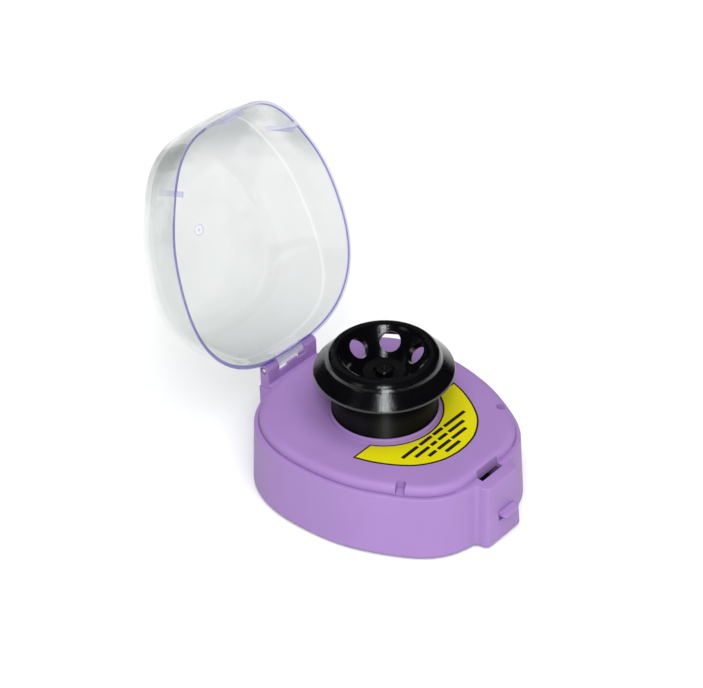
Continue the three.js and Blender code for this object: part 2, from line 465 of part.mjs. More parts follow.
// circuit board on two pillars of the bottom cover
let board = cut(box(-24, 24, 5.3, 24, 46, 6.9), post(-18, 30, 5, 8, 1.4, 1.4, 12), post(18, 30, 5, 8, 1.4, 1.4, 12));
piece("circuit_board", board, { color: 0x2f6b3a, roughness: 0.5, metalness: 0 });
for (const [name, x] of [["board_screw_left", -18], ["board_screw_right", 18]])
  piece(name, turned([[0, 3.0], [0.75, 3.0], [0.75, 7.2], [1.9, 7.2], [1.9, 8.2], [1.4, 8.6], [0, 8.6]], 16, x, 30), zinc);
piece("board_capacitor", turned([[0, 7.2], [4.0, 7.2], [4.0, 17.0], [3.5, 17.6], [0, 17.6]], 24, -6, 38), { color: 0x24324a, roughness: 0.4, metalness: 0 });
piece("board_connector", cut(box(4, 34, 7.2, 16, 41, 14), box(5.2, 35.2, 9.2, 14.8, 39.8, 15)), { color: 0xeeeae0, roughness: 0.5, metalness: 0 });

// power inlet and rocker switch through the right-hand wall
let inlet = add(alongY(-9.5, 1.0, 5.0), alongY(0.35, 1.7, 6.6));
inlet = cut(inlet, alongY(-7.5, 3, 3.1));
inlet = add(inlet, alongY(-9, -0.8, 0.9, 12));
piece("power_inlet", place(inlet, INLET), black);
let bezel = add(box(-6.3, -9.0, -9.3, 6.3, 0.8, 9.3), box(-7.4, 0.35, -10.6, 7.4, 1.0, 10.6));
bezel = cut(bezel, box(-4.9, -7.5, -7.9, 4.9, 4, 7.9), alongYBore());
function alongYBore() { return rodX(-5.8, 5.8, -0.6, 0, 1.2, 16); }
piece("rocker_bezel", place(bezel, ROCKER), black);
let rockerShape = prismX([[-4.2, -3.0], [0.4, -7.2], [1.9, -7.0], [0.9, 0], [0.7, 7.2], [-0.4, 7.3], [-4.2, 3.0]], -4.5, 4.5);
rockerShape = add(rockerShape, rodX(-5.5, 5.5, -0.6, 0, 0.9, 16));
piece("rocker_button", place(rockerShape, ROCKER), { color: 0x141416, roughness: 0.35, metalness: 0 });

export default assembly;
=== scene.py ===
import json
import math

import bpy
import numpy as np
from mathutils import Matrix, Vector


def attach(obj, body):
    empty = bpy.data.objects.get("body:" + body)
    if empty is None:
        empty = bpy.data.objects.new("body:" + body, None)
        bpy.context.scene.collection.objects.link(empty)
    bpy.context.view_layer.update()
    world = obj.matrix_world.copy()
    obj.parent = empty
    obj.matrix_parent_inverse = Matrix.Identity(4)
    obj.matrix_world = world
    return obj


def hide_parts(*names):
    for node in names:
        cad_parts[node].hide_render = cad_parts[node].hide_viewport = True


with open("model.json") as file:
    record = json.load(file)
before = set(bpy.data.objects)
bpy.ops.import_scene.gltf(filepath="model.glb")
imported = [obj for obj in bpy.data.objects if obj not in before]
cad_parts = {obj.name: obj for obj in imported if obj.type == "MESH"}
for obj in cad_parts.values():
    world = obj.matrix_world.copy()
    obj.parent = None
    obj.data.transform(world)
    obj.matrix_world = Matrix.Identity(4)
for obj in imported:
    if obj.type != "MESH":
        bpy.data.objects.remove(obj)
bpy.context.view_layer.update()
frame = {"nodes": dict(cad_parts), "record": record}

# ---------------------------------------------------------------- frame
# Shapes are drawn in millimetres about the rotor axis, z = 0 at the body's lower edge, then put where the
# packed joints say. The lid is drawn closed and turned open about its hinge.
joints = {j["name"]: j for j in frame["record"]["behaviour"]["joints"]}
HINGE = Vector(joints["lid_hinge"]["pos_m"])
HINGE_Y, HINGE_Z = 69.8, 45.05
SY = HINGE.y * 1000 - HINGE_Y
SZ = HINGE.z * 1000 - HINGE_Z
OPEN = math.radians(108.07)

LEDGE, PLATEAU, RING_TOP = 37.05, 42.27, 44.39
DRAFT, WALL = 1.97, 2.4
OUTLINE = [65.974, -14.523, 5.62, 0.349, -2.279, 0.408, -0.957, -0.15]
OUTLINE_Y = -16.84
N = 240


def at(x, y, z):
    return Vector(((x) / 1000, (y + SY) / 1000, (z + SZ) / 1000))


# ---------------------------------------------------------------- mesh helpers (millimetres)
scene = bpy.context.scene


def link(name, verts, faces):
    me = bpy.data.meshes.new(name)
    me.from_pydata([tuple(map(float, v)) for v in verts], [], faces)
    me.update()
    o = bpy.data.objects.new(name, me)
    scene.collection.objects.link(o)
    return o


def recalc(o):
    import bmesh
    bm = bmesh.new(); bm.from_mesh(o.data)
    bmesh.ops.recalc_face_normals(bm, faces=bm.faces)
    bm.to_mesh(o.data); bm.free()
    return o


def apply_all(o):
    dg = bpy.context.evaluated_depsgraph_get()
    dg.update()
    me = bpy.data.meshes.new_from_object(o.evaluated_get(dg), depsgraph=dg)
    o.modifiers.clear()
    old = o.data
    o.data = me
    bpy.data.meshes.remove(old)
    return o


def boolean(a, b, op="DIFFERENCE"):
    n0 = len(a.data.vertices)
    for solver in ("MANIFOLD", "EXACT"):
        m = a.modifiers.new("b", "BOOLEAN")
        m.operation, m.object, m.solver = op, b, solver
        dg = bpy.context.evaluated_depsgraph_get()
        dg.update()
        me = bpy.data.meshes.new_from_object(a.evaluated_get(dg), depsgraph=dg)
        a.modifiers.clear()
        if len(me.vertices) > 3 and len(me.vertices) != n0:
            old = a.data
            a.data = me
            bpy.data.meshes.remove(old)
            break
        bpy.data.meshes.remove(me)
    bpy.data.objects.remove(b)
    return a


def cut(a, *bs):
    for b in bs:
        a = boolean(a, b, "DIFFERENCE")
    return a


def add(a, *bs):
    for b in bs:
        a = boolean(a, b, "UNION")
    return a


def bevel(o, width, segments=3, angle=30):
    m = o.modifiers.new("v", "BEVEL")
    m.width, m.segments, m.limit_method, m.angle_limit = width, segments, "ANGLE", math.radians(angle)
    m.use_clamp_overlap = True
    return apply_all(o)


def skin(name, rings, wrap=False, caps=True):
    """Rings of equal point count, joined in order. A ring may be a single point."""
    verts, start, size = [], [], []
    for r in rings:
        start.append(len(verts)); size.append(len(r)); verts += list(r)
    faces = []
    K = len(rings)
    for k in range(K if wrap else K - 1):
        a, b = start[k], start[(k + 1) % K]
        na, nb = size[k], size[(k + 1) % K]
        n = max(na, nb)
        for i in range(n):
            j = (i + 1) % n
            if na == 1: faces.append((a, b + j, b + i))
            elif nb == 1: faces.append((a + i, a + j, b))
            else: faces.append((a + i, a + j, b + j, b + i))
    if caps and not wrap:
        if size[0] > 1: faces.append(tuple(start[0] + i for i in reversed(range(size[0]))))
        if size[-1] > 1: faces.append(tuple(start[-1] + i for i in range(size[-1])))
    return recalc(link(name, verts, faces))


def circle(r, z, n=N, x=0.0, y=0.0, phase=0.0):
    if r <= 1e-6: return [(x, y, z)]
    return [(x + r * math.cos(phase + 2 * math.pi * i / n), y + r * math.sin(phase + 2 * math.pi * i / n), z) for i in range(n)]


def turned(name, profile, n=N, x=0.0, y=0.0):
    """Solid of revolution. A profile that starts and ends on the axis is open, any other closes on itself."""
    ends = profile[0][0] < 1e-6 and profile[-1][0] < 1e-6
    return skin(name, [circle(r, z, n, x, y) for r, z in profile], wrap=not ends, caps=False)


def rounded(profile, radii, closed=True, seg=5):
    """Rounds the corners of a 2D profile. radii is one number or a list, 0 for a sharp corner."""
    n = len(profile)
    if not isinstance(radii, (list, tuple)): radii = [radii] * n
    out = []
    for i in range(n):
        p = Vector(profile[i])
        if (not closed and i in (0, n - 1)) or radii[i] <= 0:
            out.append(tuple(p)); continue
        a, b = Vector(profile[i - 1]), Vector(profile[(i + 1) % n])
        u, v = a - p, b - p
        lu, lv = u.length, v.length
        if lu < 1e-6 or lv < 1e-6: out.append(tuple(p)); continue
        u /= lu; v /= lv
        c = max(-1, min(1, u.dot(v)))
        half = math.acos(c) / 2
        if half > math.radians(88.5): out.append(tuple(p)); continue
        d = min(radii[i] / math.tan(half), lu * 0.48, lv * 0.48)
        r = d * math.tan(half)
        centre = p + (u + v).normalized() * (r / math.sin(half))
        s, e = p + u * d - centre, p + v * d - centre
        ang = s.angle(e)
        for k in range(seg + 1):
            t = k / seg
            w = (s * math.sin((1 - t) * ang) + e * math.sin(t * ang)) / math.sin(ang) if ang > 1e-5 else s
            q = centre + w
            out.append((q.x, q.y))
    return out


def prism_x(name, poly, x0, x1):
    n = len(poly)
    v = [(x0, y, z) for y, z in poly] + [(x1, y, z) for y, z in poly]
    f = [tuple(range(n)), tuple(range(2 * n - 1, n - 1, -1))] + [(i, i + n, (i + 1) % n + n, (i + 1) % n) for i in range(n)]
    return recalc(link(name, v, f))


def prism_z(name, poly, z0, z1):
    n = len(poly)
    v = [(x, y, z0) for x, y in poly] + [(x, y, z1) for x, y in poly]
    f = [tuple(range(n)), tuple(range(2 * n - 1, n - 1, -1))] + [(i, i + n, (i + 1) % n + n, (i + 1) % n) for i in range(n)]
    return recalc(link(name, v, f))


def box(name, x0, y0, z0, x1, y1, z1):
    return prism_z(name, [(x0, y0), (x1, y0), (x1, y1), (x0, y1)], z0, z1)


def rod(name, p, q, r, n=64):
    a, b = Vector(p), Vector(q)
    d = b - a
    rot = d.to_track_quat("Z", "Y")
    rings = [[tuple(e + rot @ Vector((r * math.cos(2 * math.pi * i / n), r * math.sin(2 * math.pi * i / n), 0))) for i in range(n)] for e in (a, b)]
    return skin(name, rings)


def turned_x(name, profile, y, z, n=64):
    """profile of [x, r] turned about the line along X through (y, z)"""
    rings = []
    for x, r in profile:
        rings.append([(x, y, z)] if r < 1e-6 else [(x, y + r * math.cos(2 * math.pi * i / n), z + r * math.sin(2 * math.pi * i / n)) for i in range(n)])
    ends = profile[0][1] < 1e-6 and profile[-1][1] < 1e-6
    return skin(name, rings, wrap=not ends, caps=False)


def finish_piece(o, name, mat, body, nodes=(), smooth=35, opened=False):
    """From millimetres to the row frame, shaded, with its material, riding on its body."""
    me = o.data
    co = np.empty(len(me.vertices) * 3); me.vertices.foreach_get("co", co)
    co = co.reshape(-1, 3)
    if opened:
        y, z = co[:, 1] - HINGE_Y, co[:, 2] - HINGE_Z
        c, s = math.cos(-OPEN), math.sin(-OPEN)
        co[:, 1], co[:, 2] = HINGE_Y + y * c - z * s, HINGE_Z + y * s + z * c
    co[:, 1] += SY; co[:, 2] += SZ
    co /= 1000
    me.vertices.foreach_set("co", co.ravel())
    me.update()
    me.polygons.foreach_set("use_smooth", [True] * len(me.polygons))
    me.set_sharp_from_angle(angle=math.radians(smooth))
    o.name = me.name = name
    me.materials.clear(); me.materials.append(mat)
    me.polygons.foreach_set("material_index", [0] * len(me.polygons))
    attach(o, body)
    if nodes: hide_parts(*nodes)
    return o


# ---------------------------------------------------------------- materials
def lin(r, g, b, a=1.0):
    return tuple(((c / 12.92) if c <= 0.04045 else ((c + 0.055) / 1.055) ** 2.4) for c in (r / 255, g / 255, b / 255)) + (a,)


def material(name):
    m = bpy.data.materials.new(name)
    m.use_nodes = True
    nt = m.node_tree
    for n in list(nt.nodes): nt.nodes.remove(n)
    out = nt.nodes.new("ShaderNodeOutputMaterial")
    bsdf = nt.nodes.new("ShaderNodeBsdfPrincipled")
    nt.links.new(bsdf.outputs[0], out.inputs["Surface"])
    return m, nt, bsdf, out


def coords(nt, scale=(1, 1, 1)):
    tc = nt.nodes.new("ShaderNodeTexCoord")
    mp = nt.nodes.new("ShaderNodeMapping")
    mp.inputs["Scale"].default_value = scale
    nt.links.new(tc.outputs["Object"], mp.inputs["Vector"])
    return mp.outputs[0]


def noise(nt, vec, scale, detail=3.0, rough=0.5):
    n = nt.nodes.new("ShaderNodeTexNoise")
    n.inputs["Scale"].default_value = scale
    n.inputs["Detail"].default_value = detail
    n.inputs["Roughness"].default_value = rough
    nt.links.new(vec, n.inputs["Vector"])
    return n.outputs["Fac"]


def ramp(nt, fac, c0, c1, p0=0.0, p1=1.0):
    r = nt.nodes.new("ShaderNodeValToRGB")
    r.color_ramp.elements[0].position, r.color_ramp.elements[1].position = p0, p1
    r.color_ramp.elements[0].color, r.color_ramp.elements[1].color = c0, c1
    nt.links.new(fac, r.inputs[0])
    return r.outputs[0]


def remap(nt, fac, lo, hi, f0=0.3, f1=0.7):
    r = nt.nodes.new("ShaderNodeMapRange")
    r.inputs["From Min"].default_value, r.inputs["From Max"].default_value = f0, f1
    r.inputs["To Min"].default_value, r.inputs["To Max"].default_value = lo, hi
    nt.links.new(fac, r.inputs["Value"])
    return r.outputs[0]


def bump(nt, bsdf, height, strength, distance, edge=0.0):
    b = nt.nodes.new("ShaderNodeBump")
    b.inputs["Strength"].default_value = strength
    b.inputs["Distance"].default_value = distance
    nt.links.new(height, b.inputs["Height"])
    if edge:
        v = nt.nodes.new("ShaderNodeBevel")
        v.samples = 6
        v.inputs["Radius"].default_value = edge
        nt.links.new(v.outputs[0], b.inputs["Normal"])
    nt.links.new(b.outputs[0], bsdf.inputs["Normal"])


def moulded(name, base, dark, light, rough=(0.34, 0.44), grain=1400.0, strength=0.12, distance=2e-5, edge=0.0, ior=1.5, coat=0.0, subsurface=0.0):
    m, nt, bsdf, out = material(name)
    v = coords(nt)
    big = noise(nt, v, 22.0, 4.0, 0.55)
    fine = noise(nt, v, grain, 2.0, 0.6)
    col = nt.nodes.new("ShaderNodeValToRGB")
    e = col.color_ramp.elements
    e[0].position, e[0].color = 0.25, dark
    e[1].position, e[1].color = 0.75, light
    mid = e.new(0.5); mid.color = base
    nt.links.new(big, col.inputs[0])
    nt.links.new(col.outputs[0], bsdf.inputs["Base Color"])
    nt.links.new(remap(nt, big, rough[0], rough[1]), bsdf.inputs["Roughness"])
    bsdf.inputs["IOR"].default_value = ior
    bsdf.inputs["Coat Weight"].default_value = coat
    bsdf.inputs["Coat Roughness"].default_value = 0.12
    if subsurface:
        bsdf.inputs["Subsurface Weight"].default_value = subsurface
        bsdf.inputs["Subsurface Radius"].default_value = (1.0, 0.7, 1.2)
        bsdf.inputs["Subsurface Scale"].default_value = 0.0015
    bump(nt, bsdf, fine, strength, distance, edge)
    return m


def metal(name, c, rough=(0.2, 0.35), stretch=(1, 1, 1), scale=900.0, strength=0.15):
    m, nt, bsdf, out = material(name)
    v = coords(nt, stretch)
    f = noise(nt, v, scale, 3.0, 0.6)
    g = noise(nt, v, 60.0, 3.0, 0.5)
    dark = tuple(x * 0.82 for x in c[:3]) + (1.0,)
    nt.links.new(ramp(nt, g, dark, c, 0.3, 0.7), bsdf.inputs["Base Color"])
    nt.links.new(remap(nt, f, rough[0], rough[1]), bsdf.inputs["Roughness"])
    bsdf.inputs["Metallic"].default_value = 1.0
    bump(nt, bsdf, f, strength, 1e-5)
    return m


PURPLE = moulded("moulded_purple", lin(154, 121, 179), lin(151, 118, 176), lin(157, 124, 182), (0.46, 0.53), 1500.0, 0.06, 1.5e-5, edge=0.0003, ior=1.38)
PURPLE_COVER = moulded("moulded_purple_cover", lin(160, 124, 196), lin(156, 120, 192), lin(164, 128, 199), (0.5, 0.6), 900.0, 0.2, 3e-5)
ROTOR = moulded("moulded_black_gloss", lin(7, 7, 9), lin(5, 5, 7), lin(10, 10, 12), (0.11, 0.15), 1250.0, 1.0, 8.5e-5, edge=0.00025, ior=1.68)
ROTOR_SKIRT = moulded("moulded_black_skirt", lin(4, 4, 5), lin(3, 3, 4), lin(6, 6, 7), (0.54, 0.58), 1500.0, 0.15, 1e-5, edge=0.00025, ior=1.42)
# the skirt keeps fine turning marks round its axis, so its gloss is drawn out upright
_nt = ROTOR_SKIRT.node_tree
_b = next(n for n in _nt.nodes if n.type == "BSDF_PRINCIPLED")
_b.inputs["Anisotropic"].default_value = 0.95
_b.inputs["Anisotropic Rotation"].default_value = 0.25
_t = _nt.nodes.new("ShaderNodeTangent")
_t.direction_type, _t.axis = "RADIAL", "Z"
_nt.links.new(_t.outputs[0], _b.inputs["Tangent"])
BLACK = moulded("moulded_black", lin(22, 22, 24), lin(18, 18, 20), lin(27, 27, 29), (0.42, 0.52), 1600.0, 0.2, 3e-5)
BLACK_KEY = moulded("moulded_black_key", lin(16, 16, 18), lin(13, 13, 15), lin(20, 20, 22), (0.22, 0.3), 1800.0, 0.1, 2e-5)
RUBBER = moulded("rubber_black", lin(34, 34, 36), lin(28, 28, 30), lin(42, 42, 44), (0.75, 0.9), 1100.0, 0.5, 6e-5)
CREAM = moulded("moulded_cream", lin(232, 226, 208), lin(226, 219, 200), lin(238, 233, 217), (0.42, 0.5), 1400.0, 0.12, 2e-5)
BOARD = moulded("solder_mask", lin(38, 98, 58), lin(30, 84, 48), lin(46, 110, 66), (0.3, 0.42), 700.0, 0.2, 3e-5)
SLEEVE = moulded("capacitor_sleeve", lin(34, 48, 74), lin(28, 41, 66), lin(40, 56, 84), (0.28, 0.36), 1200.0, 0.1, 2e-5)
MAGNET = moulded("sintered_magnet", lin(46, 46, 48), lin(36, 36, 38), lin(58, 58, 60), (0.6, 0.75), 1500.0, 0.6, 5e-5)
STEEL = metal("brushed_steel", lin(205, 207, 212), (0.18, 0.3), (0.08, 1, 1))
SPRING = metal("spring_wire", lin(190, 192, 198), (0.16, 0.28), (1, 1, 1))
ZINC = metal("zinc_plate", lin(186, 188, 190), (0.3, 0.45))
BRASS = metal("bare_brass", lin(208, 172, 96), (0.25, 0.4))
CAN = metal("drawn_steel_can", lin(176, 178, 182), (0.25, 0.38), (1, 1, 0.06), 1200.0, 0.25)
LAMINATED = metal("laminated_iron", lin(120, 122, 126), (0.4, 0.55), (0.02, 0.02, 1), 2000.0, 0.8)

LABEL = moulded("label_film", lin(208, 199, 0), lin(205, 196, 0), lin(211, 202, 1), (0.5, 0.58), 900.0, 0.06, 1e-5)
PRINT = moulded("label_print", lin(30, 28, 8), lin(24, 22, 6), lin(38, 35, 12), (0.4, 0.5), 900.0, 0.06, 1e-5)


def clear_plastic(name, tint, haze_colour, haze, gloss_rough=0.05, painted_shade=0.0):
    """Thin clear plastic: light goes straight through with a tint, the rest is gloss and a little haze, with an
    optional mottled patch of painted shade on the dome.
    """
    m, nt, bsdf, out = material(name)
    nt.nodes.remove(bsdf)
    v = coords(nt)
    cloud = noise(nt, v, 30.0, 4.0, 0.6)
    wave = noise(nt, v, 24.0, 1.0, 0.4)
    through = nt.nodes.new("ShaderNodeBsdfTransparent")
    through.inputs[0].default_value = tint
    gloss = nt.nodes.new("ShaderNodeBsdfGlossy")
    gloss.inputs["Roughness"].default_value = gloss_rough
    gloss.inputs["Color"].default_value = (1, 1, 1, 1)
    b = nt.nodes.new("ShaderNodeBump")
    b.inputs["Strength"].default_value, b.inputs["Distance"].default_value = 0.5, 4e-4
    nt.links.new(wave, b.inputs["Height"])
    nt.links.new(b.outputs[0], gloss.inputs["Normal"])
    # share of gloss rises toward the edges, alike on both sides of the thin wall
    edge = nt.nodes.new("ShaderNodeLayerWeight")
    edge.inputs["Blend"].default_value = 0.5
    p4 = nt.nodes.new("ShaderNodeMath"); p4.operation = "POWER"; p4.inputs[1].default_value = 4.0
    nt.links.new(edge.outputs["Facing"], p4.inputs[0])
    fr = nt.nodes.new("ShaderNodeMapRange")
    fr.inputs["To Min"].default_value, fr.inputs["To Max"].default_value = 0.035, 0.75
    nt.links.new(p4.outputs[0], fr.inputs["Value"])
    clear = nt.nodes.new("ShaderNodeMixShader")
    nt.links.new(fr.outputs[0], clear.inputs[0])
    nt.links.new(through.outputs[0], clear.inputs[1])
    nt.links.new(gloss.outputs[0], clear.inputs[2])
    milk = nt.nodes.new("ShaderNodeBsdfDiffuse")
    milk.inputs[0].default_value = haze_colour
    mix = nt.nodes.new("ShaderNodeMixShader")
    share = remap(nt, cloud, haze[0], haze[1], 0.35, 0.68)
    if painted_shade:
        # painted shade: a mottled grey patch round the far end of the dome
        sep = nt.nodes.new("ShaderNodeSeparateXYZ")
        nt.links.new(v, sep.inputs[0])
        where = remap(nt, sep.outputs["Z"], 0.0, 1.0, 0.128, 0.152)
        shade_blot = remap(nt, noise(nt, v, 42.0, 2.0, 0.45), 0.0, painted_shade, 0.36, 0.54)
        both = nt.nodes.new("ShaderNodeMath"); both.operation = "MULTIPLY"
        nt.links.new(where, both.inputs[0]); nt.links.new(shade_blot, both.inputs[1])
        total = nt.nodes.new("ShaderNodeMath"); total.operation = "ADD"
        nt.links.new(both.outputs[0], total.inputs[0]); nt.links.new(share, total.inputs[1])
        share = total.outputs[0]
    nt.links.new(share, mix.inputs[0])
    nt.links.new(clear.outputs[0], mix.inputs[1])
    nt.links.new(milk.outputs[0], mix.inputs[2])
    nt.links.new(mix.outputs[0], out.inputs["Surface"])
    return m


# the wall and dome carry a mottled patch of painted shade at the dome's far end
CLEAR = clear_plastic("clear_polycarbonate", (0.912, 0.922, 0.915, 1), (0.42, 0.44, 0.43, 1), (0.005, 0.035), painted_shade=0.26)
RIM = clear_plastic("clear_polycarbonate_rim", (0.86, 0.855, 0.95, 1), lin(205, 200, 232), (0.05, 0.12), 0.08)
# painted shade: a darker line along the rim's inner edge and the left rim's flat, deeper than the plastic's own
# lavender tint
RIM_LINE = clear_plastic("clear_polycarbonate_rim_line", (0.42, 0.40, 0.68, 1), lin(104, 96, 160), (0.3, 0.45), 0.08)
FEATURE = clear_plastic("clear_polycarbonate_thick", (0.83, 0.82, 0.925, 1), lin(218, 216, 236), (0.18, 0.34), 0.08)
KNUCKLE = clear_plastic("clear_polycarbonate_knuckle", (0.95, 0.945, 0.98, 1), lin(244, 241, 250), (0.26, 0.42), 0.08)
# painted highlight: fully clear with white haze, for the bright shoulder line and the gate's crown
PAINTED_HIGHLIGHT = clear_plastic("clear_polycarbonate_painted_highlight", (1.0, 1.0, 1.0, 1), (0.95, 0.96, 0.96, 1), (0.0, 0.02))
# painted light and shade: the shoulder band's copy of the clear plastic, with a lighter tint and a stronger painted
# shade patch
SHOULDER = clear_plastic("clear_polycarbonate_shoulder", (0.925, 0.933, 0.93, 1), (0.38, 0.40, 0.39, 1), (0.005, 0.03), painted_shade=0.30)

# ---------------------------------------------------------------- plan outline
K = np.arange(len(OUTLINE))


def plan_point(th):
    r = float(np.dot(OUTLINE, np.cos(K * th)))
    x, y = r * math.sin(th), OUTLINE_Y - r * math.cos(th)
    y -= 0.9 * max(0.0, (-y - 35) / 37) ** 2
    return x, y


PLAN = []
for i in range(N):
    th = 2 * math.pi * i / N - math.pi
    e = 1e-3
    (x, y), (x0, y0), (x1, y1) = plan_point(th), plan_point(th - e), plan_point(th + e)
    L = math.hypot(x1 - x0, y1 - y0)
    nx, ny = (y1 - y0) / L, -(x1 - x0) / L
    ux, uy = math.sin(th), -math.cos(th)
    PLAN.append((x, y, nx, ny, ux, uy, nx * ux + ny * uy, -ny))


def ring(off, z):
    return [(p[0] + p[2] * off, p[1] + p[3] * off, z) for p in PLAN]


def eased(off, z):
    """The plateau's ring, eased back behind the well to clear the lid's rim as it swings."""
    out = []
    for x, y, nx, ny, *_ in PLAN:
        px, py = x + nx * off, y + ny * off
        if ny > 0.2:
            rim = math.hypot(HINGE_Y - (y - ny * 1.65), HINGE_Z - LEDGE - 0.3) + 0.35
            py = min(py, HINGE_Y - math.sqrt(max(0.0, rim ** 2 - (HINGE_Z - z) ** 2)))
        out.append((px, py, z))
    return out


def plan_circle(r, z):
    """A circle about the rotor axis whose points face the outline's points."""
    out = []
    for p in PLAN:
        a = math.atan2(p[1], p[0])
        out.append((r * math.cos(a), r * math.sin(a), z))
    return out


def arc(cx, cy, r, a0, a1, n):
    return [(cx + r * math.cos(math.radians(a0 + (a1 - a0) * i / n)), cy + r * math.sin(math.radians(a0 + (a1 - a0) * i / n))) for i in range(n + 1)]


# ---------------------------------------------------------------- upper housing
def smooth_poly(pts, steps=5):
    """Catmull-Rom through open points."""
    P = [Vector(p) for p in pts]
    P = [P[0] * 2 - P[1]] + P + [P[-1] * 2 - P[-2]]
    out = []
    for i in range(1, len(P) - 2):
        for k in range(steps):
            t = k / steps
            a, b, c, d = P[i - 1], P[i], P[i + 1], P[i + 2]
            out.append(tuple(0.5 * ((2 * b) + (c - a) * t + (2 * a - 5 * b + 4 * c - d) * t * t + (3 * b - a - 3 * c + d) * t ** 3)))
    out.append(tuple(P[-2]))
    return out


BLOCK_TOP = [(-23.5, -69.2), (-20.5, -71.0), (-17, -72.0), (-14.6, -72.6), (-13.1, -74.0), (-12.4, -76.8), (-11.5, -79.0), (-9.3, -79.85)]
BLOCK_LOW = [(-25.4, -70.6), (-22.4, -72.6), (-18.9, -73.6), (-16.5, -74.2), (-15.0, -75.6), (-14.4, -78.4), (-13.4, -80.6), (-11.2, -81.45)]


def block_ring(t, z, inset=0.0):
    half = [tuple(Vector(a) * (1 - t) + Vector(b) * t) for a, b in zip(BLOCK_LOW, BLOCK_TOP)]
    half = smooth_poly(half, 5)
    pts = half + [(-x, y) for x, y in reversed(half)]
    n = len(pts)
    if inset:
        q = []
        for i in range(n):
            a, b = Vector(pts[max(0, i - 1)]), Vector(pts[min(n - 1, i + 1)])
            d = (b - a).normalized()
            q.append((pts[i][0] - d.y * inset * 1.0, pts[i][1] + d.x * inset * 1.0))
        pts = q
    bx = 23.0
    return [(x, y, z) for x, y in pts] + [(bx, -60, z), (-bx, -60, z)]


